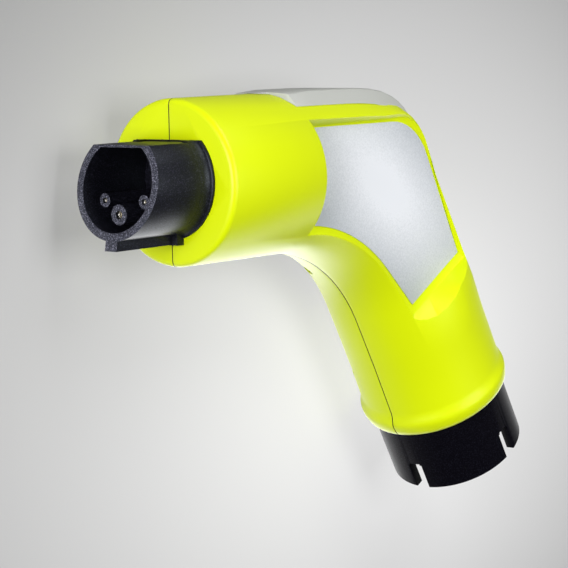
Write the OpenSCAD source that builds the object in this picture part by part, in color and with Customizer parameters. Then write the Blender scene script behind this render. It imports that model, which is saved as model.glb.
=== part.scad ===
// Charge simulation plug: a hand-held dummy charging plug with a type 1
// nozzle, a two-half pistol housing, foil side panels and a slotted tail
// collar. Millimetres. It lies on its side: +X is the nozzle direction, +Z
// is up (the side that carries the visible panel), +Y is towards the handle.

/* [Barrel] */
// Radius of the round barrel
barrel_r = 34.4; // [33.5:0.1:35.5]
// Length of the barrel, front face to the step at the panel
barrel_len = 60; // [58:0.5:61]
// Edge rounding at both ends of the barrel
barrel_round = 2.5; // [1.5:0.1:3]

/* [Handle] */
// Lean of the handle from square to the barrel, degrees
lean = 29.5; // [28:0.5:31]
// Distance from the barrel face back to the handle axis
handle_back = 118.8; // [118:0.2:121]
// Radius of the handle where the bend ends
handle_r = 33.3; // [33:0.1:33.8]
// Length along the handle axis to the rim's end
handle_len = 126.5; // [124:0.1:130]
// Radius of the thick rim at the handle's end
rim_r = 35.3; // [34.8:0.1:36.2]
// Centreline radius of the bend
bend_r = 104; // [102:1:106]
// Softness of the outer corner of the bend
corner_soft = 11; // [6:0.5:14]
// Wall thickness of the housing
wall = 3; // [2.4:0.1:3.2]

/* [Side panels] */
// Height of the recess floor above the split plane
floor_z = 21.7; // [21:0.1:22.5]
// Thickness of the foil panel
foil_t = 0.4; // [0.3:0.1:0.6]
// Distance of the panel's straight upper edge from the barrel axis
panel_top = 20; // [19:0.2:20.5]

/* [Nozzle] */
// Outer radius of the round shroud, as on every type 1 plug
shroud_r = 21.9; // [21.8:0.05:22]
// Inner radius of the shroud
shroud_in_r = 18.6; // [18.4:0.1:18.8]
// Height of the flat above the shroud axis
flat_h = 15.9; // [15.5:0.1:16.5]
// Length of the shroud on its axis, from the barrel face
shroud_len = 31.3; // [30:0.1:33]
// Slant of the shroud's mouth, degrees
mouth_slant = 10.5; // [8:0.5:11]
// Height of the shroud axis above the barrel axis
shroud_up = 1.1; // [0.8:0.1:1.3]

/* [Tail collar] */
// Outer radius of the collar
collar_r = 31.4; // [31:0.1:31.4]
// Inner radius of the collar
collar_in_r = 27; // [26.5:0.1:27.5]
// Collar length past the handle's rim
collar_out = 33.5; // [30:0.1:36]
// Width of the four open slots
slot_w = 7.2; // [6:0.2:8]
// Depth of the slots
slot_depth = 14.2; // [12:0.2:16]

/* [Hidden] */
$fn = 96;
lean_c = cos(lean);
lean_s = sin(lean);
turn = 90 - lean;
bend_len = bend_r * tan(turn / 2);
bend_x = bend_len - handle_back;
// the handle sits a little behind its own axis
back_shift = 0.7;
rim_t = handle_len;
collar_t1 = rim_t + collar_out;
collar_t0 = 110;
ring_t = collar_t0 + 5.05;
eps = 0.02;

// Frames
// drawing x = row Y, drawing y = row Z, extrusion along +X
module along_x(x = 0) translate([x, 0, 0]) rotate([90, 0, 90]) children();
// drawing x = towards the front of the handle, extrusion down the handle
module on_handle(t = 0)
    multmatrix([
        [lean_c, 0, -lean_s, -handle_back - t * lean_s],
        [lean_s, 0, lean_c, t * lean_c],
        [0, -1, 0, 0],
        [0, 0, 0, 1]]) children();
// the point n in front of the handle axis, t down it
function hp(n, t) = [-handle_back + n * lean_c - t * lean_s,
                     n * lean_s + t * lean_c];

// Housing skin as rings of points
function softmin(a, b, k) = -k * ln(exp(-a / k) + exp(-b / k));

// angles round half a ring; the outside has a fine groove along the seam,
// this deep and this many degrees wide on each half
seam = 0.45;
seam_turn = 0.45;
function round_half(m, g = 0) = g == 0 ? [for (i = [0:m]) 180 * i / m]
    : concat([0, g], [for (i = [1:m - 1]) 180 * i / m], [180 - g, 180]);
function sunk(a, g) = g > 0 && (a == 0 || a == 180) ? seam : 0;

// crest beside the strip, on the back of the bend and the handle
crest = 1.6;
function lip(a) = a <= 100 || a > 142 ? 0 : crest * (0.5 - 0.5 * cos(180 * min(1, (a - 100) / 36)));

// half a ring in the bend, at the fan angle th; w is the inset
function bend_ring(th, w, m, g = 0) =
    let (r0 = barrel_r + (handle_r - barrel_r) * th / turn - w,
         c = -back_shift * th / turn)
    [for (a = round_half(m, g)) let (
        r = r0 - sunk(a, g),
        ra = barrel_r - w - sunk(a, g),
        rb = handle_r - w - sunk(a, g) + (w == 0 ? lip(a) : 0),
        k = -cos(a),
        inner = bend_r - c + r * k,
        da = (bend_r + ra * k) / cos(th),
        db = (bend_r + back_shift + rb * k) / cos(turn - th),
        rho = a <= 90 ? inner : softmin(da, db, corner_soft))
        [bend_x - rho * sin(th), bend_r - rho * cos(th), r * sin(a)]];

function barrel_ring(x, r, m, g = 0) =
    [for (a = round_half(m, g)) (r - sunk(a, g)) * [0, cos(a), sin(a)] + [x, 0, 0]];

function handle_ring(t, r, m, c = -back_shift, g = 0, l = 0) =
    [for (a = round_half(m, g)) let (
        e = r + l * lip(a),
        p = hp((e - sunk(a, g)) * cos(a) + c, t))
        [p[0], p[1], e * sin(a)]];

// closed half solid through a list of half rings
module loft(rings) {
    n = len(rings[0]);
    k = len(rings);
    pts = [for (r = rings) for (p = r) p];
    sides = [for (j = [0:k - 2]) for (i = [0:n - 1])
        let (a = j * n + i, b = j * n + (i + 1) % n)
        each [[a, b, a + n], [b, b + n, a + n]]];
    cap0 = [[for (i = [n - 1:-1:0]) i]];
    cap1 = [[for (i = [0:n - 1]) (k - 1) * n + i]];
    polyhedron(points = pts, faces = concat(sides, cap0, cap1));
}

// lowers the flat side of a half ring, so that a cavity cuts through it
function lowered(ring, d) =
    let (n = len(ring))
    [for (i = [0:n - 1]) i == 0 || i == n - 1
        ? [ring[i][0], ring[i][1], -d] : ring[i]];

skin_m = 36;
barrel_rows = [
    [0, barrel_r - barrel_round],
    [-0.3, barrel_r - 0.5 * barrel_round],
    [-0.45 * barrel_round, barrel_r - 0.17 * barrel_round],
    [-barrel_round, barrel_r]];
// closer together at the outer corner
function spread(n) = [for (i = [0:n]) let (u = 2 * i / n - 1)
    turn / 2 * (1 + sign(u) * pow(abs(u), 1.35))];
bend_rows = spread(18);
// distance down the handle, radius, shift to the back, share of the crest
handle_rows = [
    [74, handle_r, back_shift, 0.7],
    [88, handle_r + 0.02, back_shift, 0.3],
    [114.5, handle_r + 0.4, 0.4, 0],
    [116.6, handle_r + 0.7, 0.2, 0],
    [118.2, rim_r - 0.75, 0, 0],
    [119.6, rim_r - 0.2, 0, 0],
    [120.8, rim_r, 0, 0],
    [122, rim_r - 0.12, 0, 0],
    [123.6, rim_r - 0.35, 0, 0],
    [125, rim_r - 0.7, 0, 0],
    [126, rim_r - 1.25, 0, 0],
    [rim_t, rim_r - 1.9, 0, 0]];

module skin_half() {
    loft(concat(
        [for (r = barrel_rows) barrel_ring(r[0], r[1], skin_m, seam_turn)],
        [for (th = bend_rows) bend_ring(th, 0, skin_m, seam_turn)],
        [for (r = handle_rows) handle_ring(r[0], r[1], skin_m, -r[2], seam_turn, r[3])]));
}

cavity_m = 20;
groove_t = rim_t - 7.4;
// the last rings are the seat of the tail collar and its groove
module cavity_half() {
    seat = collar_r + 0.3;
    loft([for (r = concat(
        [barrel_ring(-wall, barrel_r - wall, cavity_m)],
        [for (i = [0:12]) bend_ring(turn * i / 12, wall, cavity_m)],
        [handle_ring(collar_t0 - 3, handle_r - wall, cavity_m),
         handle_ring(collar_t0 - 0.4, collar_r - 1.6, cavity_m),
         handle_ring(collar_t0 - 0.2, seat, cavity_m, 0),
         handle_ring(groove_t, seat, cavity_m, 0),
         handle_ring(groove_t + 0.2, seat + 1.8, cavity_m, 0),
         handle_ring(groove_t + 3.2, seat + 1.8, cavity_m, 0),
         handle_ring(groove_t + 3.4, seat, cavity_m, 0),
         handle_ring(rim_t + 1, seat, cavity_m, 0)]))
        lowered(r, 1)]);
}

// The recess for the foil panel
function mitre(a, ea, b, eb) =
    let (d = a[0] * b[1] - a[1] * b[0])
    [(ea * b[1] - eb * a[1]) / d, (a[0] * eb - b[0] * ea) / d];

up_n = [0, -1];
back_n = [cos(206.5), sin(206.5)];
end_n = [-lean_s, lean_c];
tip_n = [cos(44), sin(44)];
inner_n = [0, 1];
corner_c = [-121, 8];
corner_r = 28;
end_back = [-169.4, 42.3];
end_tip = [-133.7, 62.9];
end_mid = end_back + 17 * [lean_c, lean_s];
inner_r = 82.3;

// outline of the recess; eb, ee and ei widen it at the top and back, at the
// handle end and along the inner curve; x0 is its end under the barrel and
// et lifts the tip alone
function recess_outline(x0, eb, ee, ei, et = 0) = concat(
    [[x0, -panel_top - eb]],
    [for (i = [0:9]) let (a = 270 - 63.5 * i / 9)
        corner_c + (corner_r + eb) * [cos(a), sin(a)]],
    [end_back + mitre(back_n, eb, end_n, ee)],
    let (a = end_mid + ee * end_n, b = end_tip + mitre(end_n, et == 0 ? ee : et, tip_n, ei))
        [for (i = [0:6]) a + (b - a) * i / 6],
    [for (i = [0:12]) let (a = 226 + 44 * i / 12)
        [bend_x, bend_r] + (inner_r - ei) * [cos(a), sin(a)]],
    [[x0, bend_r - inner_r + ei]]);

// three layers: floor, first bevel, outside
module recess(x0, g, z0) {
    layers = [
        [z0, recess_outline(x0, g, g, g)],
        [z0 + 1.6, recess_outline(x0, g + 1.45, g + 3.3, g + 3.6)],
        [z0 + 14.3, recess_outline(x0, g + 13.1, g + 5.2, g + 31.8, g + 21.8)]];
    n = len(layers[0][1]);
    pts = [for (l = layers) for (p = l[1]) [p[0], p[1], l[0]]];
    sides = [for (j = [0:1]) for (i = [0:n - 1])
        let (a = j * n + i, b = j * n + (i + 1) % n)
        each [[a, b, a + n], [b, b + n, a + n]]];
    polyhedron(points = pts, faces = concat(sides,
        [[for (i = [n - 1:-1:0]) i]],
        [[for (i = [0:n - 1]) 2 * n + i]]));
}

// Screws of the housing
bend_screw = [bend_x - 76 * sin(38), bend_r - 76 * cos(38)];
screw_at = [
    [-26, -26],
    [-26, 26],
    bend_screw,
    hp(-23, 84),
    hp(22, 98)];
head_z = 9;

module bosses(r, z0, z1) {
    for (p = screw_at) translate([p[0], p[1], z0])
        cylinder(r = r, h = z1 - z0, $fn = 16);
}

// ribs across the inside of one half
module ribs_half() {
    intersection() {
        union() {
            // two rings that hold the nozzle's inner flange
            for (x = [-9.6, -22]) translate([x, -40, 0]) cube([2, 80, 40]);
            // webs in the bend and the handle
            translate([-64, -40, 0]) cube([2, 90, 40]);
            on_handle(90) translate([-40, -40, 0]) cube([80, 40, 2]);
        }
        union() {
            loft([barrel_ring(-1, barrel_r - 1.5, 12),
                barrel_ring(-66, barrel_r - 1.5, 12)]);
            loft([handle_ring(80, handle_r - 1.5, 12),
                handle_ring(100, handle_r - 1.5, 12)]);
        }
    }
}

module rib_hole() {
    // room for the carrier, the wires and the board inside the ribs
    along_x(-24) cylinder(r = 24, h = 24, $fn = 32);
    translate([-116, -19, -1]) cube([60, 36, 17]);
    on_handle(80) cylinder(r = 16, h = 30, $fn = 24);
}

// rounded edge of the barrel where the recess begins
module barrel_edge() {
    loft([for (r = [[-50, 0], [1.8 - barrel_len, 0], [0.9 - barrel_len, 0.25],
        [0.3 - barrel_len, 0.85], [-barrel_len, 1.9]])
        barrel_ring(r[0], barrel_r - r[1], skin_m, seam_turn)]);
}

module half_shell() {
    difference() {
        union() {
            difference() {
                skin_half();
                recess(-52, 0, floor_z);
            }
            barrel_edge();
        }
        difference() {
            cavity_half();
            recess(wall - barrel_len, wall, floor_z - 2.6);
            bosses(4.8, -2, 37);
            ribs_half_cut();
        }
        // the seam groove goes on across the front face
        rotate([90, 0, 0]) linear_extrude(80, center = true)
            polygon([[-seam, 0], [0.05, 0.3], [0.05, -0.3]]);
        // opening for the nozzle in the front wall
        along_x(-wall - 1) nozzle_section(shroud_r + 0.15, flat_h + 0.15, wall + 2, 40);
    }
}

module ribs_half_cut() {
    difference() {
        ribs_half();
        rib_hole();
    }
}

// The moulded halves are free forms, so each is kept as one closed mesh.
module moulding() resize([0, 0, 0]) children();

module housing_left() color([0.86, 0.93, 0.06]) moulding() difference() {
    half_shell();
    // pilot holes for the threaded inserts
    bosses(2.5, -1, 9.2);
}

module housing_right() color([0.86, 0.93, 0.06]) moulding() difference() {
    mirror([0, 0, 1]) half_shell();
    // clearance holes and head recesses
    bosses(1.85, -30, 1);
    bosses(3.7, -40, -head_z);
}

// Foil panels
module foil(z) {
    translate([0, 0, z]) linear_extrude(foil_t)
        difference() {
            polygon(recess_outline(-62, -0.3, -0.3, -0.3));
            // cut back along the barrel's step
            translate([-barrel_len - 0.4, -40]) square([60, 80]);
        }
}
module panel_foil_left() color([0.78, 0.81, 0.82]) foil(floor_z + eps);
module panel_foil_right() color([0.78, 0.81, 0.82]) foil(-floor_z - foil_t - eps);

// Raised strip over the spine
strip_half = 19.1;
strip_top = 35.3;
strip_gap = 0.15;
// length of the blunt tip and of the short tongue before it
strip_tip = 7.6;
strip_tongue = 5.8;
strip_end_t = 34;
// outer profile as [side, height above the barrel axis]
strip_outer = [
    [-1, 28.6],
    [-0.82, 33.7],
    [-0.78, 34.8],
    [-0.71, strip_top],
    [-0.36, strip_top],
    [0, strip_top],
    [0.36, strip_top],
    [0.71, strip_top],
    [0.78, 34.8],
    [0.82, 33.7],
    [1, 28.6]];
function strip_under(q) = sqrt(pow(barrel_r + strip_gap, 2) - q * q);
// half-width at the distance s from the tip: a short tongue, then a blunt shoulder
function strip_width(s) = s > strip_tip ? strip_half
    : s < strip_tongue ? 3 + 0.5 * s
    : 5.9 + (strip_half - 5.9) * sin(90 * (s - strip_tongue) / (strip_tip - strip_tongue));
// rise of the top out of the housing over the first stretch
function rise(s) = s > 16 ? 1 : 0.15 + 0.85 * sin(90 * s / 16);
function strip_ring(th, s) =
    let (w = strip_width(s), lift = rise(s), h = concat(
        [for (p = strip_outer) let (q = w * p[0], u = strip_under(q))
            [q, u + max(0.3, min(p[1], u + (strip_half - abs(q)) * 1.4 + 0.3) - u) * lift]],
        [for (i = [0:16]) let (q = w * (1 - i / 8)) [q, strip_under(q)]]))
    [for (i = [len(h) - 1:-1:0]) let (
        p = h[i],
        da = (bend_r + p[1]) / cos(th),
        db = (bend_r + back_shift + p[1] - barrel_r + handle_r) / cos(turn - th),
        rho = softmin(da, db, corner_soft))
        [bend_x - rho * sin(th), bend_r - rho * cos(th), p[0]]];
function moved(ring, v) = [for (p = ring) p + v];
module spine_strip() color([0.74, 0.75, 0.73])
    loft(concat(
        [for (s = [0, 3, strip_tongue, 6.3, 6.9])
            moved(strip_ring(0.001, s), [strip_tip - s, 0, 0])],
        [for (th = spread(16)) strip_ring(th, strip_tip + bend_r * tan(th))],
        [for (s = [12, strip_tip, 6.9, 6.3, strip_tongue, 3, 0])
            moved(strip_ring(turn, s),
                (strip_end_t - s - bend_len) * [-lean_s, lean_c, 0])]));

// Nozzle
// D shape of the nozzle, drawn with row Y to the right, so the flat is left
module nozzle_2d(r, f, n) {
    translate([-shroud_up, 0]) intersection() {
        circle(r, $fn = n);
        translate([-f, -2 * r]) square([f + 2 * r, 4 * r]);
    }
}
module nozzle_section(r, f, h, n = 96) linear_extrude(h) nozzle_2d(r, f, n);
key_w = 6.3;
key_down = 24.6;
flange_r = 24.1;
flange_flat = 16.6;

module mouth_cut() {
    // everything past the slanted mouth
    translate([shroud_len, -shroud_up, 0]) rotate([0, 0, -mouth_slant])
        translate([0, -60, -60]) cube([60, 120, 120]);
}

module nozzle_shroud() color([0.10, 0.10, 0.115]) difference() {
    union() {
        along_x(-18) nozzle_section(shroud_r, flat_h, 60);
        // thin base flange on the barrel face
        along_x(eps) nozzle_section(flange_r, flange_flat, 0.9);
        // the shroud flares into the flange
        intersection() {
            translate([0, -shroud_up, 0]) rotate([0, 90, 0]) rotate_extrude()
                polygon(concat([[20, 0.8]], [for (i = [0:8]) let (a = 90 * i / 8)
                    [flange_r - 0.2 - (flange_r - 0.22 - shroud_r) * sin(a),
                     0.9 + 5 * (1 - cos(a))]], [[20, 5.9]]));
            along_x(0.5) nozzle_section(27, flange_flat, 12);
        }
        // inner flange, held behind the front wall
        along_x(-7.4) nozzle_section(26.5, 19.5, 4.3);
        // key rib below and its foot
        translate([eps, 15, -key_w / 2]) cube([43, key_down - 15, key_w]);
        translate([eps, 15, -6.5]) cube([4, key_down - 14.8, 13]);
    }
    along_x(-30) nozzle_section(shroud_in_r, flat_h - 0.95, 90);
    mouth_cut();
}

// Contact carrier and contacts
pe_y = 10.5;
cp_y = 5.3;
cp_z = 10.65;
floor_x = -4.7;
pe_tip = 30.7;
cp_tip = 27.4;

module at_contact(y, z, x) translate([x, y, z]) rotate([0, 90, 0]) children();

module contact_carrier() color([0.09, 0.09, 0.10]) difference() {
    union() {
        along_x(-12) nozzle_section(shroud_in_r - 0.05, flat_h - 1.05, 12 + floor_x);
        at_contact(pe_y, 0, floor_x - 1) cylinder(r = 4.2, h = pe_tip - floor_x + 1, $fn = 48);
        for (s = [-1, 1]) at_contact(cp_y, s * cp_z, floor_x - 1)
            cylinder(r = 2.85, h = cp_tip - floor_x + 1, $fn = 40);
    }
    // bores for the contacts, with a smaller mouth in front
    at_contact(pe_y, 0, -13) cylinder(r = 2.9, h = pe_tip - 1.5 + 13, $fn = 40);
    at_contact(pe_y, 0, 0) cylinder(r = 1.7, h = 60, $fn = 40);
    for (s = [-1, 1]) {
        at_contact(cp_y, s * cp_z, -13) cylinder(r = 1.9, h = cp_tip - 1.2 + 13, $fn = 32);
        at_contact(cp_y, s * cp_z, 0) cylinder(r = 1.15, h = 60, $fn = 32);
    }
}

module socket_contact(y, z, tip, r, bore, collar_rad) {
    difference() {
        union() {
            at_contact(y, z, -24) cylinder(r = r, h = tip + 24, $fn = 32);
            // shoulder that seats on the retainer
            at_contact(y, z, -15.4) cylinder(r = collar_rad, h = 3.2, $fn = 32);
        }
        at_contact(y, z, tip - 18) cylinder(r = bore, h = 30, $fn = 32);
        // crimp barrel for the wire
        at_contact(y, z, -25) cylinder(r = r - 0.6, h = 7, $fn = 32);
    }
}
module contact_pe() color([0.85, 0.72, 0.42])
    socket_contact(pe_y, 0, pe_tip - 1.6, 2.8, 1.42, 3.6);
module contact_cp() color([0.85, 0.72, 0.42])
    socket_contact(cp_y, -cp_z, cp_tip - 1.3, 1.8, 0.78, 2.6);
module contact_pp() color([0.85, 0.72, 0.42])
    socket_contact(cp_y, cp_z, cp_tip - 1.3, 1.8, 0.78, 2.6);

plate_screws = [[-9.5, 9], [-9.5, -9], [1.5, 0]];
module contact_retainer() color([0.32, 0.33, 0.36]) difference() {
    along_x(-17.6) nozzle_section(shroud_in_r - 0.1, flat_h - 1.1, 5.5);
    // seats for the shoulders of the contacts
    at_contact(pe_y, 0, -30) cylinder(r = 2.85, h = 40, $fn = 32);
    at_contact(pe_y, 0, -15.5) cylinder(r = 3.7, h = 10, $fn = 32);
    for (s = [-1, 1]) {
        at_contact(cp_y, s * cp_z, -30) cylinder(r = 1.85, h = 40, $fn = 32);
        at_contact(cp_y, s * cp_z, -15.5) cylinder(r = 2.7, h = 10, $fn = 32);
    }
    for (p = plate_screws) at_contact(p[0], p[1], -30) cylinder(r = 1.3, h = 40, $fn = 24);
}

module retainer_screws() color([0.75, 0.76, 0.78])
    for (p = plate_screws) difference() {
        union() {
            at_contact(p[0], p[1], -17.62) cylinder(r = 1.25, h = 5.6, $fn = 24);
            at_contact(p[0], p[1], -19.6) cylinder(r = 2.4, h = 1.98, $fn = 28);
        }
        at_contact(p[0], p[1], -20) cylinder(r = 0.9, h = 1.5, $fn = 6);
    }

// Circuit board in the handle
board_w = 24;
board_t0 = 14;
board_l = 50;
board_z = -1.2;
module on_board(n, t, z) translate([hp(n, t)[0], hp(n, t)[1], z])
    rotate([0, 0, 90 + lean]) children();
board_holes = [[9.6, 17], [-9.6, 17], [9.6, 61], [-9.6, 61]];

module circuit_board() color([0.08, 0.33, 0.16]) difference() {
    on_board(0, board_t0, board_z) translate([0, -board_w / 2, 0])
        cube([board_l, board_w, 1.6]);
    for (h = board_holes) on_board(h[0], h[1], board_z - 1) cylinder(r = 1.3, h = 4, $fn = 24);
}
module board_frame() color([0.30, 0.31, 0.33]) difference() {
    // tray that stands on the right half and carries the board
    on_board(0, board_t0 - 1, board_z - 17.84) translate([0, -13.4, 0])
        cube([board_l + 2, 26.8, 17.8]);
    on_board(0, board_t0 + 1.2, board_z - 15.8) translate([0, -6.5, 0])
        cube([board_l - 2.4, 13, 20]);
    for (h = board_holes) on_board(h[0], h[1], board_z - 6) cylinder(r = 1.0, h = 7, $fn = 20);
}
module board_screws() color([0.75, 0.76, 0.78])
    for (h = board_holes) {
        on_board(h[0], h[1], board_z - 4) cylinder(r = 0.95, h = 5.62, $fn = 20);
        on_board(h[0], h[1], board_z + 1.62) cylinder(r = 2.1, h = 1.3, $fn = 24);
    }
module resistors() color([0.76, 0.66, 0.48])
    for (t = [30, 36, 42]) on_board(0, t, board_z + 1.62 + 1.5)
        rotate([90, 0, 0]) {
            cylinder(r = 1.5, h = 7, center = true, $fn = 28);
            cylinder(r = 0.35, h = 12, center = true, $fn = 16);
        }
module diode() color([0.05, 0.05, 0.05])
    on_board(0, 48.5, board_z + 1.62 + 1.4) rotate([90, 0, 0]) {
        cylinder(r = 1.35, h = 5.2, center = true, $fn = 28);
        cylinder(r = 0.35, h = 11, center = true, $fn = 16);
    }
module terminal_block() color([0.12, 0.42, 0.22]) difference() {
    on_board(0, 19.5, board_z + 1.62) translate([0, -7.5, 0]) cube([7, 15, 9]);
    for (n = [-5, 0, 5]) {
        on_board(n, 19, board_z + 6) rotate([0, 90, 0]) cylinder(r = 1.5, h = 5, $fn = 24);
        on_board(n, 23, board_z + 6) cylinder(r = 1.7, h = 9, $fn = 24);
    }
}
module terminal_screws() color([0.75, 0.76, 0.78])
    for (n = [-5, 0, 5]) difference() {
        on_board(n, 23, board_z + 6.5) cylinder(r = 1.65, h = 3.6, $fn = 24);
        on_board(n, 23, board_z + 9.2) translate([-2, -0.3, 0]) cube([4, 0.6, 2]);
    }

// Wires from the contacts to the board
function unit(v) = v / norm(v);
function smooth_path(p, k) =
    k == 0 ? p : smooth_path(concat([p[0]],
        [for (i = [0:len(p) - 2]) each
            [p[i] * 0.75 + p[i + 1] * 0.25, p[i] * 0.25 + p[i + 1] * 0.75]],
        [p[len(p) - 1]]), k - 1);
module tube(path, r) {
    n = len(path);
    m = 8;
    rings = [for (i = [0:n - 1]) let (
        a = path[max(0, i - 1)],
        b = path[min(n - 1, i + 1)],
        d = unit(b - a),
        s = unit(cross(d, [0.13, 0.21, 1])),
        u = cross(s, d))
        [for (j = [0:m - 1]) path[i] + r * (cos(360 * j / m) * s + sin(360 * j / m) * u)]];
    loft(rings);
}
block_in = [for (n = [-5, 0, 5]) hp(n, 20.6)];
module wire_pe() color([0.15, 0.55, 0.2])
    tube(smooth_path([[-18.8, pe_y, 0], [-30, pe_y, 0], [-40, pe_y, 0.5], [-62, 6, 2],
        [-95, 0, 4.5], [hp(0, 8)[0], hp(0, 8)[1], board_z + 6],
        [block_in[1][0], block_in[1][1], board_z + 6]], 2), 1.3);
module wire_cp() color([0.12, 0.12, 0.13])
    tube(smooth_path([[-18.8, cp_y, -cp_z], [-30, cp_y, -cp_z], [-40, cp_y, -9], [-62, -2, -2],
        [-95, -6, 3], [hp(-5, 8)[0], hp(-5, 8)[1], board_z + 6],
        [block_in[0][0], block_in[0][1], board_z + 6]], 2), 1.1);
module wire_pp() color([0.8, 0.8, 0.78])
    tube(smooth_path([[-18.8, cp_y, cp_z], [-30, cp_y, cp_z], [-40, cp_y + 1, 10], [-62, 14, 7],
        [-92, 8, 6], [hp(5, 8)[0], hp(5, 8)[1], board_z + 6],
        [block_in[2][0], block_in[2][1], board_z + 6]], 2), 1.1);

// Tail collar
module slots(w, t) {
    for (a = [0, 90]) on_handle(t) rotate([0, 0, a])
        translate([-50, -w / 2, 0]) cube([100, w, 60]);
}
module tail_collar() color([0.09, 0.09, 0.105]) difference() {
    // tube, its flange in the rim's groove, and a small chamfer at the end
    on_handle() rotate_extrude() polygon([
        [collar_in_r - 2.4, collar_t0],
        [collar_r, collar_t0],
        [collar_r, groove_t + 0.4],
        [collar_r + 1.9, groove_t + 0.4],
        [collar_r + 1.9, groove_t + 3],
        [collar_r, groove_t + 3],
        [collar_r, collar_t1 - 0.6],
        [collar_r - 0.6, collar_t1],
        [collar_in_r, collar_t1],
        [collar_in_r, ring_t + 1.3],
        [collar_in_r + 0.9, ring_t + 1.3],
        [collar_in_r + 0.9, ring_t],
        [collar_in_r, ring_t],
        [collar_in_r, collar_t0 + 2],
        [collar_in_r - 2.4, collar_t0 + 2]]);
    slots(slot_w, collar_t1 - slot_depth + 0.8);
    slots(slot_w - 1.6, collar_t1 - slot_depth);
}
// plate on the collar's inner lip, and the snap ring that holds it
module tail_plate() color([0.13, 0.13, 0.14])
    on_handle(collar_t0 + 2.02) cylinder(r = collar_in_r - 0.08, h = 3);
module tail_ring() color([0.75, 0.76, 0.78]) difference() {
    on_handle(ring_t + 0.05) cylinder(r = collar_in_r + 0.8, h = 1.2);
    on_handle(ring_t - 1) cylinder(r = collar_in_r - 1.6, h = 4);
    // gap for the pliers
    on_handle(ring_t - 1) translate([-40, -3, 0]) cube([40, 6, 4]);
}

// Housing fasteners
module housing_screws() color([0.72, 0.73, 0.75])
    for (p = screw_at) difference() {
        union() {
            translate([p[0], p[1], -head_z - 0.5]) cylinder(r = 1.7, h = 16.5, $fn = 28);
            translate([p[0], p[1], -head_z - 2.2]) cylinder(r = 3.2, h = 2.18, $fn = 32);
        }
        translate([p[0], p[1], -head_z - 3]) cylinder(r = 1.35, h = 2, $fn = 6);
    }
module thread_inserts() color([0.83, 0.68, 0.34])
    for (p = screw_at) difference() {
        translate([p[0], p[1], 0.4]) cylinder(r = 2.4, h = 7, $fn = 28);
        translate([p[0], p[1], -1]) cylinder(r = 1.72, h = 12, $fn = 28);
    }

housing_left();
housing_right();
panel_foil_left();
panel_foil_right();
spine_strip();
nozzle_shroud();
contact_carrier();
contact_pe();
contact_cp();
contact_pp();
contact_retainer();
retainer_screws();
circuit_board();
board_frame();
board_screws();
resistors();
diode();
terminal_block();
terminal_screws();
wire_pe();
wire_cp();
wire_pp();
tail_collar();
tail_plate();
tail_ring();
housing_screws();
thread_inserts();
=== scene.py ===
# %% [markdown]
# # Charge simulation plug
#
# This plug is held like a pistol and pushed into a car's charging inlet, where
# it stands in for a charging cable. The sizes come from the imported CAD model,
# which stays where it is. This script dresses it: it gives every piece its
# finish, remakes the pieces whose edges and bends are seen close up, and adds
# light, a floor and the camera. Lengths are in metres, unless a name or a
# comment says otherwise.

# %% Load the CAD model
import math
import bpy
from mathutils import Matrix, Vector


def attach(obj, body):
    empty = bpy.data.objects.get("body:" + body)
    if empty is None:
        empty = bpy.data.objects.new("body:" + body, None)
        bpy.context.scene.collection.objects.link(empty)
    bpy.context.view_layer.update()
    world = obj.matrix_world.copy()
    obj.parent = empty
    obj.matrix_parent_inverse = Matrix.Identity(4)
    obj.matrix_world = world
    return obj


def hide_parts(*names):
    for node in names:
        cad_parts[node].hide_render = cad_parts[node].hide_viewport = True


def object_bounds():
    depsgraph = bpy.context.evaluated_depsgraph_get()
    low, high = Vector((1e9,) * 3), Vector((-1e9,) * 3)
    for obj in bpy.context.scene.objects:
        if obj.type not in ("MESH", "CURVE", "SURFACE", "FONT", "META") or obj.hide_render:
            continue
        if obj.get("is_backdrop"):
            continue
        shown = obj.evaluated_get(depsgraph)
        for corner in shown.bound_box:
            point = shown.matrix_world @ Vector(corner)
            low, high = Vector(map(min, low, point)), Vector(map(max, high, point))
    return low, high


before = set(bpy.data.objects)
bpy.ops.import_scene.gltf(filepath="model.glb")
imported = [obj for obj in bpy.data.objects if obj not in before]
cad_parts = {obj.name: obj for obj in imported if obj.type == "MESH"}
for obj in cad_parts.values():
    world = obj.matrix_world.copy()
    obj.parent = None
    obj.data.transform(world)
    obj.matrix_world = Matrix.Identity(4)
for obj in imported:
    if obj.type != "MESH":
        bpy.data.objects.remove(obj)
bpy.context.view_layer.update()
print("CAD pieces:", len(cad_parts))

# %% [markdown]
# ## The camera
#
# The photograph looks down on the plug from its front left, from a little
# under a metre, with a long lens. A camera can be aimed by angles or by a
# constraint. Here it is given the directions of the picture's right and of its
# up, because that is what a fit to a photograph gives. The third direction, the
# way back towards the camera, follows from them. The plug lies on its side, so
# the camera is turned with it.

# %% Camera
film_width_mm = 36
focal_length_mm = 142.98
camera_place = Vector((0.67403, -0.0620, 0.61732))
picture_right = Vector((-0.63624, 0.02081, 0.77120))
picture_up = Vector((-0.10049, -0.99335, -0.05611))
picture_back = picture_right.cross(picture_up)

camera_data = bpy.data.cameras.new("camera")
camera_data.sensor_width = film_width_mm
camera_data.lens = focal_length_mm
camera_data.clip_end = 20
camera = bpy.data.objects.new("camera", camera_data)
bpy.context.collection.objects.link(camera)
turn = Matrix((picture_right, picture_up, picture_back)).transposed().to_4x4()
camera.matrix_world = Matrix.Translation(camera_place) @ turn
bpy.context.scene.camera = camera
print("camera looks along", [round(-v, 3) for v in picture_back])

# %% [markdown]
# ## The grain that all finishes share
#
# A moulded or sintered part is never quite smooth, and its gloss changes from
# spot to spot. That could be painted on a picture, but a picture has to be
# wrapped round every piece. Noise on Object coordinates needs no wrapping, and
# it stays put when the piece is seen from another side. Every finish of the
# plug uses it, so it is one node group, which takes a scale and a height.

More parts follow.
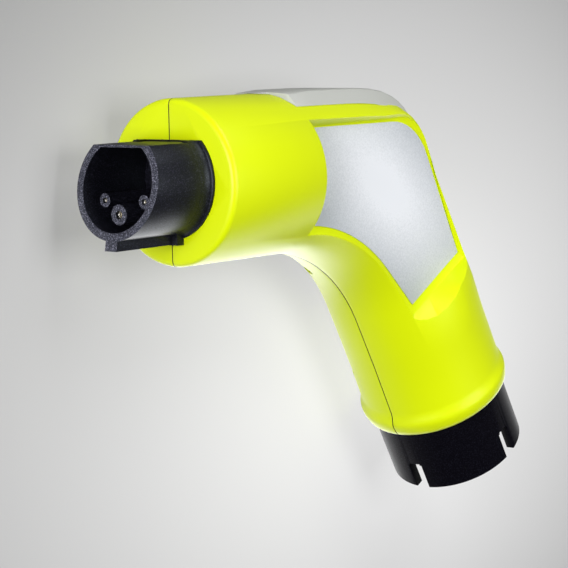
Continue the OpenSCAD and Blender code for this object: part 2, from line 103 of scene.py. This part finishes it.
# %% The grain
grain_group = bpy.data.node_groups.new("fine_grain", "ShaderNodeTree")
for socket, way, kind in (
        ("Scale", "INPUT", "NodeSocketFloat"),
        ("Height", "INPUT", "NodeSocketFloat"),
        ("Value", "OUTPUT", "NodeSocketFloat"),
        ("Normal", "OUTPUT", "NodeSocketVector")):
    grain_group.interface.new_socket(socket, in_out=way, socket_type=kind)
inside = grain_group.nodes
wires = grain_group.links
given = inside.new("NodeGroupInput")
result = inside.new("NodeGroupOutput")
place = inside.new("ShaderNodeTexCoord")
noise = inside.new("ShaderNodeTexNoise")
noise.inputs["Detail"].default_value = 2.0
bump = inside.new("ShaderNodeBump")
wires.new(place.outputs["Object"], noise.inputs["Vector"])
wires.new(given.outputs["Scale"], noise.inputs["Scale"])
wires.new(given.outputs["Height"], bump.inputs["Distance"])
wires.new(noise.outputs["Fac"], bump.inputs["Height"])
wires.new(noise.outputs["Fac"], result.inputs["Value"])
wires.new(bump.outputs["Normal"], result.inputs["Normal"])
print("grain group has", len(inside), "nodes")

# %% [markdown]
# ## Helpers for the finishes
#
# Colours are easiest to judge as a screen shows them, from 0 to 255, but a
# shader wants them without the screen's curve. Every finish of the plug starts
# with the same shader and the shared grain, some use the grain's value for
# their gloss, and some need a ramp of tones. Each of these is a short function,
# so that the finishes below say only what is special about them.

# %% Helpers for the finishes
def from_screen(red, green, blue):
    """A colour as a screen shows it, 0 to 255, as the shader wants it."""
    def uncurved(c):
        c = c / 255
        return c / 12.92 if c <= 0.04045 else ((c + 0.055) / 1.055) ** 2.4
    return (uncurved(red), uncurved(green), uncurved(blue), 1.0)


def new_finish(name, grain_size, grain_height):
    """A finish with the shared grain: returns it, its shader and the grain."""
    finish = bpy.data.materials.new(name)
    finish.use_nodes = True
    nodes = finish.node_tree.nodes
    shader = nodes["Principled BSDF"]
    grain = nodes.new("ShaderNodeGroup")
    grain.node_tree = grain_group
    grain.inputs["Scale"].default_value = 1.0 / grain_size
    grain.inputs["Height"].default_value = grain_height
    finish.node_tree.links.new(grain.outputs["Normal"], shader.inputs["Normal"])
    return finish, shader, grain


def vary_gloss(finish, shader, grain, roughness, share):
    """The grain moves the roughness up and down by a share of it."""
    step = finish.node_tree.nodes.new("ShaderNodeMapRange")
    step.inputs["To Min"].default_value = roughness * (1 - share)
    step.inputs["To Max"].default_value = roughness * (1 + share)
    finish.node_tree.links.new(grain.outputs["Value"], step.inputs["Value"])
    finish.node_tree.links.new(step.outputs["Result"], shader.inputs["Roughness"])


def tone_ramp(nodes, stops):
    """A ramp of tones through the stops, each a position and a colour."""
    ramp = nodes.new("ShaderNodeValToRGB")
    elements = ramp.color_ramp.elements
    for stop in stops[1:-1]:
        elements.new(stop[0])
    for element, (position, colour) in zip(elements, stops):
        element.position = position
        element.color = colour
    return ramp


print("a screen's middle grey is", round(from_screen(128, 128, 128)[0], 3), "for a shader")

# %% [markdown]
# ## Moulded plastic
#
# The halves of the housing are moulded in yellow plastic, smooth and softly
# glossy. One plain colour would look like a drawing. On a real moulding the
# thickness of the wall and the flow of the melt change the tone a little, so a
# slow second noise moves the colour by a per cent or two. The grey strip and
# the plastic pieces inside are made in the same way.

# %% Finish of the moulded pieces
# A Mix node has sockets for each kind of data. These are the colour's.
MIX_COLOUR_A = 6
MIX_COLOUR_B = 7
MIX_COLOUR_RESULT = 2
CLOUDS_PER_METRE = 22.0


def moulded_plastic(name, colour, roughness, drift=0.03, specular=0.5):
    """Plastic whose colour drifts slowly, by a share of it."""
    finish, shader, grain = new_finish(name, grain_size=0.0006, grain_height=0.00001)
    nodes = finish.node_tree.nodes
    links = finish.node_tree.links
    shader.inputs["Specular IOR Level"].default_value = specular
    vary_gloss(finish, shader, grain, roughness, share=0.1)
    place = nodes.new("ShaderNodeTexCoord")
    cloud = nodes.new("ShaderNodeTexNoise")
    cloud.inputs["Scale"].default_value = CLOUDS_PER_METRE
    links.new(place.outputs["Object"], cloud.inputs["Vector"])
    tint = nodes.new("ShaderNodeMix")
    tint.data_type = "RGBA"
    deeper = [c * (1.0 - drift) for c in colour[:3]]
    paler = [min(1.0, c * (1.0 + drift)) for c in colour[:3]]
    tint.inputs[MIX_COLOUR_A].default_value = deeper + [1.0]
    tint.inputs[MIX_COLOUR_B].default_value = paler + [1.0]
    links.new(cloud.outputs["Fac"], tint.inputs["Factor"])
    links.new(tint.outputs[MIX_COLOUR_RESULT], shader.inputs["Base Color"])
    return finish


yellow = moulded_plastic(
    "yellow_shell", from_screen(219, 236, 0), roughness=0.38, drift=0.02, specular=0.3)
grey = moulded_plastic(
    "grey_strip", from_screen(187, 189, 184), roughness=0.5, drift=0.02, specular=0.3)
inner_grey = moulded_plastic("grey_inner", from_screen(150, 152, 156), roughness=0.5)
inner_black = moulded_plastic("black_inner", from_screen(42, 42, 44), roughness=0.5)
board_lacquer = moulded_plastic("board_green", from_screen(25, 110, 60), roughness=0.3)
resistor_lacquer = moulded_plastic("resistor_body", from_screen(205, 180, 140), roughness=0.4)
terminal_plastic = moulded_plastic("terminal_green", from_screen(40, 140, 80), roughness=0.4)
sheath_green = moulded_plastic("wire_green", from_screen(110, 170, 60), roughness=0.5)
sheath_black = moulded_plastic("wire_black", from_screen(40, 40, 42), roughness=0.5)
sheath_white = moulded_plastic("wire_white", from_screen(225, 225, 220), roughness=0.5)
print("plastics are ready, from", yellow.name, "to", sheath_white.name)

# %% [markdown]
# ## Black sintered nylon
#
# The nozzle and the collar are made of sintered nylon, dyed black. Its powder
# grains stay in the surface: it is matt and deep, and single grains catch the
# lamp. They are far too many to model, so the grain roughens the gloss, and
# where its value is high the colour goes towards grey, which paints those
# glints together with the paler grains themselves. What the surface mirrors is
# a little blue. The collar is smoother and mirrors less than the nozzle, and
# rims that are often touched are worn to a lighter grey, which also paints the
# highlight that they catch, so there are three of these finishes.

# %% Finish of the black pieces
GRAINS_BEGIN = 0.5
GRAINS_FULL = 0.8
BLUISH_GLOSS = (0.8, 0.89, 1.0, 1.0)


def sintered_nylon(name, colour, grain_and_glint_colour, roughness, grain_height, ior):
    """Dyed nylon with paler grains and painted glints. A lower ior mirrors less."""
    finish, shader, grain = new_finish(name, grain_size=0.0005, grain_height=grain_height)
    links = finish.node_tree.links
    shader.inputs["Roughness"].default_value = roughness
    shader.inputs["IOR"].default_value = ior
    shader.inputs["Specular Tint"].default_value = BLUISH_GLOSS
    # Where the grain is high the colour goes grey: paler grains and painted glints.
    few = tone_ramp(finish.node_tree.nodes, [(GRAINS_BEGIN, colour), (GRAINS_FULL, grain_and_glint_colour)])
    links.new(grain.outputs["Value"], few.inputs["Fac"])
    links.new(few.outputs["Color"], shader.inputs["Base Color"])
    return finish


black = sintered_nylon(
    "black_nozzle", from_screen(9, 9, 14), from_screen(52, 52, 66),
    roughness=0.36, grain_height=0.00004, ior=1.32)
collar_black = sintered_nylon(
    "black_collar", from_screen(10, 9, 15), from_screen(34, 34, 44),
    roughness=0.34, grain_height=0.00002, ior=1.05)
# Lighter grey for the rims: partly wear, partly painted highlight.
worn_and_lit_black = sintered_nylon(
    "worn_and_lit_rim", from_screen(38, 38, 48), from_screen(150, 150, 170),
    roughness=0.45, grain_height=0.00008, ior=1.4)
print("blacks:", black.name, collar_black.name, worn_and_lit_black.name)

# %% [markdown]
# ## Silver foil
#
# The panel on each side is a thin foil that is stuck into a recess. A metal
# shader would mirror the lamps too sharply, so this is a pale satin finish
# with a fine grain. Its colour carries painted shade: it is brightest in the
# middle and falls softly towards its edges, where the raised border of the
# housing keeps the light off. A round gradient that is stretched to an oval
# paints that, and it is smoother than a painted mask.

# %% Finish of the foil
GRAIN_IN_TONE = 0.3
DARK_UP_TO = 0.55


def satin_foil(name, bright, dark, middle, reach, turned):
    """Painted shade: the tone runs from bright in the middle to dark at the ends of an oval."""
    finish, shader, grain = new_finish(name, grain_size=0.0007, grain_height=0.000006)
    nodes = finish.node_tree.nodes
    links = finish.node_tree.links
    shader.inputs["Roughness"].default_value = 0.42
    shader.inputs["Specular IOR Level"].default_value = 0.3
    place = nodes.new("ShaderNodeTexCoord")
    oval = nodes.new("ShaderNodeMapping")
    oval.vector_type = "TEXTURE"
    oval.inputs["Location"].default_value = middle
    oval.inputs["Rotation"].default_value = (0.0, 0.0, math.radians(turned))
    oval.inputs["Scale"].default_value = reach
    links.new(place.outputs["Object"], oval.inputs["Vector"])
    glow = nodes.new("ShaderNodeTexGradient")
    glow.gradient_type = "SPHERICAL"
    links.new(oval.outputs["Vector"], glow.inputs["Vector"])
    stir = nodes.new("ShaderNodeMath")
    stir.operation = "MULTIPLY_ADD"
    stir.inputs[1].default_value = GRAIN_IN_TONE
    links.new(grain.outputs["Value"], stir.inputs[0])
    links.new(glow.outputs["Fac"], stir.inputs[2])
    # The ramp paints the shade: darker towards the edges of the oval.
    tone = tone_ramp(nodes, [(DARK_UP_TO, dark), (1.0, bright)])
    links.new(stir.outputs["Value"], tone.inputs["Fac"])
    links.new(tone.outputs["Color"], shader.inputs["Base Color"])
    return finish


silver = satin_foil(
    "silver_foil", bright=from_screen(240, 243, 248), dark=from_screen(182, 188, 193),
    middle=(-0.115, 0.009, 0.0), reach=(0.130, 0.060, 1.0), turned=-35)
print("foil has", len(silver.node_tree.nodes), "nodes")

# %% [markdown]
# ## Metal
#
# The contacts are plated, and the screws are steel. A metal shows its colour in
# what it mirrors, so Metallic is 1. Turning leaves fine scratches. They could
# be a pattern of rings, but on pieces this small it is enough that the gloss
# changes from spot to spot.

# %% Finish of the metal pieces
def turned_metal(name, colour, roughness):
    """Metal whose gloss is uneven from turning."""
    finish, shader, grain = new_finish(name, grain_size=0.0008, grain_height=0.000004)
    shader.inputs["Metallic"].default_value = 1.0
    shader.inputs["Base Color"].default_value = colour
    vary_gloss(finish, shader, grain, roughness, share=0.3)
    return finish


contact_metal = turned_metal("contact_metal", (0.86, 0.83, 0.76, 1.0), roughness=0.22)
screw_steel = turned_metal("screw_steel", (0.68, 0.69, 0.71, 1.0), roughness=0.3)
print("metals:", contact_metal.name, screw_steel.name)

# %% [markdown]
# ## The line where the halves meet
#
# Two moulded halves never close perfectly. A fine groove runs round the plug,
# and it looks dark because little light reaches its bottom and dust stays in
# it. It could be a dark line in the finish of the shells, but that would look
# flat close up. The groove is in the mesh, and its narrow faces get a dark
# olive finish, which is painted shade with the dust in it.

# %% Finish of the groove
# Painted shade, with some dust, for the faces of the groove.
seam_painted_shade = moulded_plastic("seam_shadow", from_screen(70, 76, 22), roughness=0.8, drift=0.1)
seam_reach = 0.0003
print("the groove is", round(2000 * seam_reach, 2), "mm wide")

# %% [markdown]
# ## Dressing the CAD pieces
#
# Every CAD piece has a name, so one table says which finish goes on which
# piece. Pieces inside the housing can't be seen in the picture, but they are
# dressed all the same, because the part is also looked at piece by piece.

# %% Finish for each CAD piece
finish_of = {
    "housing_left": yellow,
    "housing_right": yellow,
    "panel_foil_left": silver,
    "panel_foil_right": silver,
    "spine_strip": grey,
    "nozzle_shroud": black,
    "contact_carrier": black,
    "contact_pe": contact_metal,
    "contact_cp": contact_metal,
    "contact_pp": contact_metal,
    "contact_retainer": inner_grey,
    "retainer_screws": screw_steel,
    "circuit_board": board_lacquer,
    "board_frame": inner_grey,
    "board_screws": screw_steel,
    "resistors": resistor_lacquer,
    "diode": inner_black,
    "terminal_block": terminal_plastic,
    "terminal_screws": screw_steel,
    "wire_pe": sheath_green,
    "wire_cp": sheath_black,
    "wire_pp": sheath_white,
    "tail_collar": collar_black,
    "tail_plate": inner_black,
    "tail_ring": screw_steel,
    "housing_screws": screw_steel,
    "thread_inserts": contact_metal,
}
for name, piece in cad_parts.items():
    piece.data.materials.clear()
    piece.data.materials.append(finish_of[name])
print("finished:", len(finish_of))

# %% [markdown]
# ## Fine copies of the pieces that show
#
# A CAD piece is a shell of loose triangles with knife-sharp edges, and it has
# to stay as it is. So the pieces that are seen close up are remade from a copy
# of their mesh: loose points are merged, flat neighbours are joined, the sharp
# edges get the small round that a mould or a cutter leaves, and the shading is
# smooth between them. The copy rides on the plug's body and takes the place of
# the CAD piece.

# %% Make a fine copy
MERGE_WITHIN = 0.000004
SLIVER = 0.00002
FLAT_ANGLE = math.radians(0.6)
EDGE_ANGLE = math.radians(32)
SMOOTH_ANGLE = math.radians(38)


def pick_only(piece):
    """Operators act on all that is selected, so all else is deselected."""
    bpy.ops.object.select_all(action="DESELECT")
    piece.select_set(True)
    bpy.context.view_layer.objects.active = piece


def fine_copy(node, name, edge_width):
    """A copy of a CAD piece with merged points and rounded edges."""
    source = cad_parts[node]
    piece = bpy.data.objects.new(name, source.data.copy())
    bpy.context.collection.objects.link(piece)
    pick_only(piece)
    bpy.ops.object.mode_set(mode="EDIT")
    bpy.ops.mesh.select_all(action="SELECT")
    bpy.ops.mesh.remove_doubles(threshold=MERGE_WITHIN)
    bpy.ops.mesh.dissolve_degenerate(threshold=SLIVER)
    bpy.ops.mesh.dissolve_limited(angle_limit=FLAT_ANGLE)
    bpy.ops.object.mode_set(mode="OBJECT")
    bpy.ops.mesh.customdata_custom_splitnormals_clear()
    rounding = piece.modifiers.new("edges", "BEVEL")
    rounding.limit_method = "ANGLE"
    rounding.angle_limit = EDGE_ANGLE
    rounding.width = edge_width
    rounding.segments = 2
    bpy.ops.object.modifier_apply(modifier="edges")
    bpy.ops.object.shade_smooth_by_angle(angle=SMOOTH_ANGLE)
    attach(piece, "root")
    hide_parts(node)
    print(name, "has", len(piece.data.polygons), "faces")
    return piece


left_shell = fine_copy("housing_left", "left_shell", edge_width=0.0005)
right_shell = fine_copy("housing_right", "right_shell", edge_width=0.0005)
fine_copy("spine_strip", "back_strip", edge_width=0.0005)
shroud = fine_copy("nozzle_shroud", "shroud", edge_width=0.0003)
carrier = fine_copy("contact_carrier", "carrier", edge_width=0.0002)
for node in ("contact_pe", "contact_cp", "contact_pp"):
    fine_copy(node, node + "_turned", edge_width=0.0002)
fine_copy("tail_collar", "collar", edge_width=0.0003)

# %% [markdown]
# ## Painted shade in the groove, wear and painted highlight on the rims
#
# On the real plug dust sits in the groove, and its dark finish is mostly
# painted shade. The front rims of the shroud and of the sleeves are rubbed by
# every inlet that they go into, and their lighter grey is that wear together
# with a painted highlight. Masks could be painted for both. But the faces are
# easy to find by their place and by the way they face, so they get a second
# material. The rim of the shroud is cut at a slant, and the sleeves end square.

# %% Paint shade into the groove, and wear and highlight onto the rims
SLANTED_RIM = Vector((0.983, -0.182, 0.0))
SQUARE_RIM = Vector((1.0, 0.0, 0.0))
RIMS_BEGIN_AT_X = 0.02
NEARLY_PARALLEL = 0.8


def groove_faces(shell):
    """Faces whose corners all lie beside the plane where the halves meet."""
    points = shell.data.vertices
    return [face for face in shell.data.polygons
            if all(abs(points[i].co.z) < seam_reach for i in face.vertices)]


def rim_faces(piece, facing):
    """Faces near the mouth that point out of it."""
    return [face for face in piece.data.polygons
            if face.normal.dot(facing) > NEARLY_PARALLEL and face.center.x > RIMS_BEGIN_AT_X]


def second_finish(piece, finish, faces):
    """Some faces of a piece take a second finish."""
    piece.data.materials.append(finish)
    for face in faces:
        face.material_index = 1
    print(piece.name, "has", len(faces), "faces in", finish.name)


# The groove's faces take the painted shade.
for shell in (left_shell, right_shell):
    second_finish(shell, seam_painted_shade, groove_faces(shell))
# The rims take wear and a painted highlight.
second_finish(shroud, worn_and_lit_black, rim_faces(shroud, SLANTED_RIM))
second_finish(carrier, worn_and_lit_black, rim_faces(carrier, SQUARE_RIM))

# %% [markdown]
# ## The fullest part of the back
#
# Where the barrel bends into the handle, the yellow swells up beside the grey
# strip and hides its edge. Sculpting could do that, and so could a lattice
# round the shell. Here the mesh is pulled as by hand, with proportional
# editing, because that keeps the surface smooth and needs only a place and a
# distance: a few points on each shoulder are moved outwards, and the points
# round them follow, less and less with the distance.

# %% Swell the shoulders at the bend
shoulder = Vector((-0.1374, -0.0136, 0.0236))
pulled_by = 0.0036 * Vector((-0.65, -0.76, 0.0))
held_within = 0.006
others_follow_within = 0.024


def swell(shell, middle):
    """Pulls the shell outwards round a point."""
    pick_only(shell)
    bpy.ops.object.mode_set(mode="EDIT")
    bpy.ops.mesh.select_mode(type="VERT")
    bpy.ops.mesh.select_all(action="DESELECT")
    bpy.ops.object.mode_set(mode="OBJECT")
    near = [v for v in shell.data.vertices if (v.co - middle).length < held_within]
    for point in near:
        point.select = True
    bpy.ops.object.mode_set(mode="EDIT")
    bpy.ops.transform.translate(
        value=pulled_by, use_proportional_edit=True,
        proportional_edit_falloff="SMOOTH", proportional_size=others_follow_within)
    bpy.ops.object.mode_set(mode="OBJECT")
    print(shell.name, "pulled out at", len(near), "points")


swell(left_shell, shoulder)
swell(right_shell, shoulder * Vector((1, 1, -1)))

# %% [markdown]
# ## What the plastic mirrors
#
# Satin plastic mirrors the room round it, most of all where one looks along
# it. A whole studio could be modelled for that. It is simpler to let the world
# tell the rays apart: mirrored rays see a pale room with a bright sweep low
# behind the handle, which whitens the belly of the barrel and the inside of
# the elbow, and a softer one low on the nozzle's side. All other rays see only
# a dim room.

# %% World
# A Mix node has sockets for each kind of data. These are the plain value's.
MIX_VALUE_A = 2
MIX_VALUE_B = 3
DIM_ROOM = 0.06

scene = bpy.context.scene
scene.view_settings.view_transform = "Standard"
world = bpy.data.worlds.new("studio")
scene.world = world
world.use_nodes = True
world_nodes = world.node_tree.nodes
world_links = world.node_tree.links
room = world_nodes["Background"]
room.inputs["Color"].default_value = (1.0, 1.0, 1.0, 1.0)
direction = world_nodes.new("ShaderNodeTexCoord")


def sweep(towards, edge, full, plain, bright):
    """Brightness of a room that is bright in one direction and plain elsewhere."""
    along = world_nodes.new("ShaderNodeVectorMath")
    along.operation = "DOT_PRODUCT"
    along.inputs[1].default_value = Vector(towards).normalized()
    world_links.new(direction.outputs["Generated"], along.inputs[0])
    rise = world_nodes.new("ShaderNodeMapRange")
    rise.interpolation_type = "SMOOTHSTEP"
    rise.inputs["From Min"].default_value = edge
    rise.inputs["From Max"].default_value = full
    rise.inputs["To Min"].default_value = plain
    rise.inputs["To Max"].default_value = bright
    world_links.new(along.outputs["Value"], rise.inputs["Value"])
    return rise.outputs["Result"]


behind_handle = sweep((-0.66, 0.62, -0.30), edge=0.72, full=0.96, plain=0.22, bright=4.7)
below_nozzle = sweep((0.20, 0.60, -0.80), edge=0.50, full=1.0, plain=0.0, bright=1.5)
mirrored = world_nodes.new("ShaderNodeMath")
mirrored.operation = "ADD"
world_links.new(behind_handle, mirrored.inputs[0])
world_links.new(below_nozzle, mirrored.inputs[1])
world_rays = world_nodes.new("ShaderNodeLightPath")
level = world_nodes.new("ShaderNodeMix")
level.inputs[MIX_VALUE_A].default_value = DIM_ROOM
world_links.new(world_rays.outputs["Is Glossy Ray"], level.inputs["Factor"])
world_links.new(mirrored.outputs["Value"], level.inputs[MIX_VALUE_B])
world_links.new(level.outputs["Result"], room.inputs["Strength"])
print("world has", len(world_nodes), "nodes")

# %% [markdown]
# ## Lamps
#
# The photograph is a studio picture. One lamp would leave a side black, and a
# bright world would leave no form at all. So three large soft lamps stand
# round the plug: one in front of the nozzle, one behind the back and one above
# the panel. Each lights the faces that are turned to it, and the belly of the
# barrel, which faces none of them, is deeper in colour.

# %% Lamps
plug_middle = Vector((-0.08, 0.03, 0.0))
lamp_distance = 1.5
lamp_size = 0.75


def soft_lamp(name, towards, watts):
    """A square lamp that looks at the plug's middle."""
    lamp = bpy.data.lights.new(name, "AREA")
    lamp.size = lamp_size
    lamp.energy = watts
    holder = bpy.data.objects.new(name, lamp)
    bpy.context.collection.objects.link(holder)
    holder.location = plug_middle + lamp_distance * Vector(towards).normalized()
    aim = plug_middle - holder.location
    holder.rotation_euler = aim.to_track_quat("-Z", "Y").to_euler()
    print(name, "stands at", [round(v, 2) for v in holder.location])


soft_lamp("over_lamp", (0.0, -0.10, 1.0), watts=12.5)
soft_lamp("back_lamp", (-0.1, -0.80, 0.60), watts=9.4)
soft_lamp("front_lamp", (1.0, -0.10, 0.22), watts=20.5)

# %% [markdown]
# ## Floor
#
# The floor is pale, brightest below the plug and greyer towards the edges of
# the picture. A white floor under strong lamps would wash out the plug's own
# colours. So its brightness is a glow that only the camera sees, over a matt
# surface that keeps the plug's shadow. Mirrored rays pass it and meet the pale
# studio instead.

# %% The floor and its glow
# Half a millimetre under the plug.
floor_height = -0.0358
glow_middle = (-0.188, 0.102, 0.0)
glow_reach = (0.406, 0.26, 1.0)


def even_grey(value):
    """A neutral grey, as a shader wants it."""
    return (value, value, value, 1.0)


bpy.ops.object.select_all(action="DESELECT")
bpy.ops.mesh.primitive_plane_add(size=6, location=(0, 0, floor_height))
floor = bpy.context.object
floor.name = "floor"
floor_finish = bpy.data.materials.new("floor_pale")
floor_finish.use_nodes = True
nodes = floor_finish.node_tree.nodes
links = floor_finish.node_tree.links
nodes.remove(nodes["Principled BSDF"])
place = nodes.new("ShaderNodeTexCoord")
centre = nodes.new("ShaderNodeMapping")
centre.vector_type = "TEXTURE"
centre.inputs["Location"].default_value = glow_middle
centre.inputs["Scale"].default_value = glow_reach
links.new(place.outputs["Object"], centre.inputs["Vector"])
round_fade = nodes.new("ShaderNodeTexGradient")
round_fade.gradient_type = "SPHERICAL"
links.new(centre.outputs["Vector"], round_fade.inputs["Vector"])
shade = tone_ramp(nodes, [(0.0, even_grey(0.028)), (0.5, even_grey(0.389)), (1.0, even_grey(0.772))])
links.new(round_fade.outputs["Fac"], shade.inputs["Fac"])
back_glow = nodes.new("ShaderNodeEmission")
links.new(shade.outputs["Color"], back_glow.inputs["Color"])
print("the glow reaches", glow_reach[:2], "m from its middle")

# %% [markdown]
# ## Which rays see the floor
#
# Two floors, each hidden from some rays, could do this, but one finish with a
# Light Path node is simpler. The camera, and rays that pass through something
# clear, see the glow on top of the matt surface. Mirrored rays find nothing
# there, and all other rays see only the matt surface.

# %% Light paths of the floor
matt = nodes.new("ShaderNodeBsdfDiffuse")
matt.inputs["Color"].default_value = even_grey(0.3)
rays = nodes.new("ShaderNodeLightPath")
seen = nodes.new("ShaderNodeMath")
seen.operation = "MAXIMUM"
links.new(rays.outputs["Is Camera Ray"], seen.inputs[0])
links.new(rays.outputs["Is Transmission Ray"], seen.inputs[1])
links.new(seen.outputs["Value"], back_glow.inputs["Strength"])
both = nodes.new("ShaderNodeAddShader")
links.new(matt.outputs["BSDF"], both.inputs[0])
links.new(back_glow.outputs["Emission"], both.inputs[1])
clear = nodes.new("ShaderNodeBsdfTransparent")
pick = nodes.new("ShaderNodeMixShader")
links.new(rays.outputs["Is Glossy Ray"], pick.inputs[0])
links.new(both.outputs["Shader"], pick.inputs[1])
links.new(clear.outputs["BSDF"], pick.inputs[2])
links.new(pick.outputs["Shader"], nodes["Material Output"].inputs["Surface"])
floor.data.materials.append(floor_finish)
floor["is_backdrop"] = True
print("floor is", [round(v, 2) for v in floor.dimensions], "m")

# %% [markdown]
# ## Sizes
#
# The dressed part has to stay as large as the CAD model. Its size is printed.

# %% Print the size of the dressed part
low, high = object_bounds()
print("dressed part is", [round(1000 * (high[i] - low[i])) for i in range(3)], "mm")
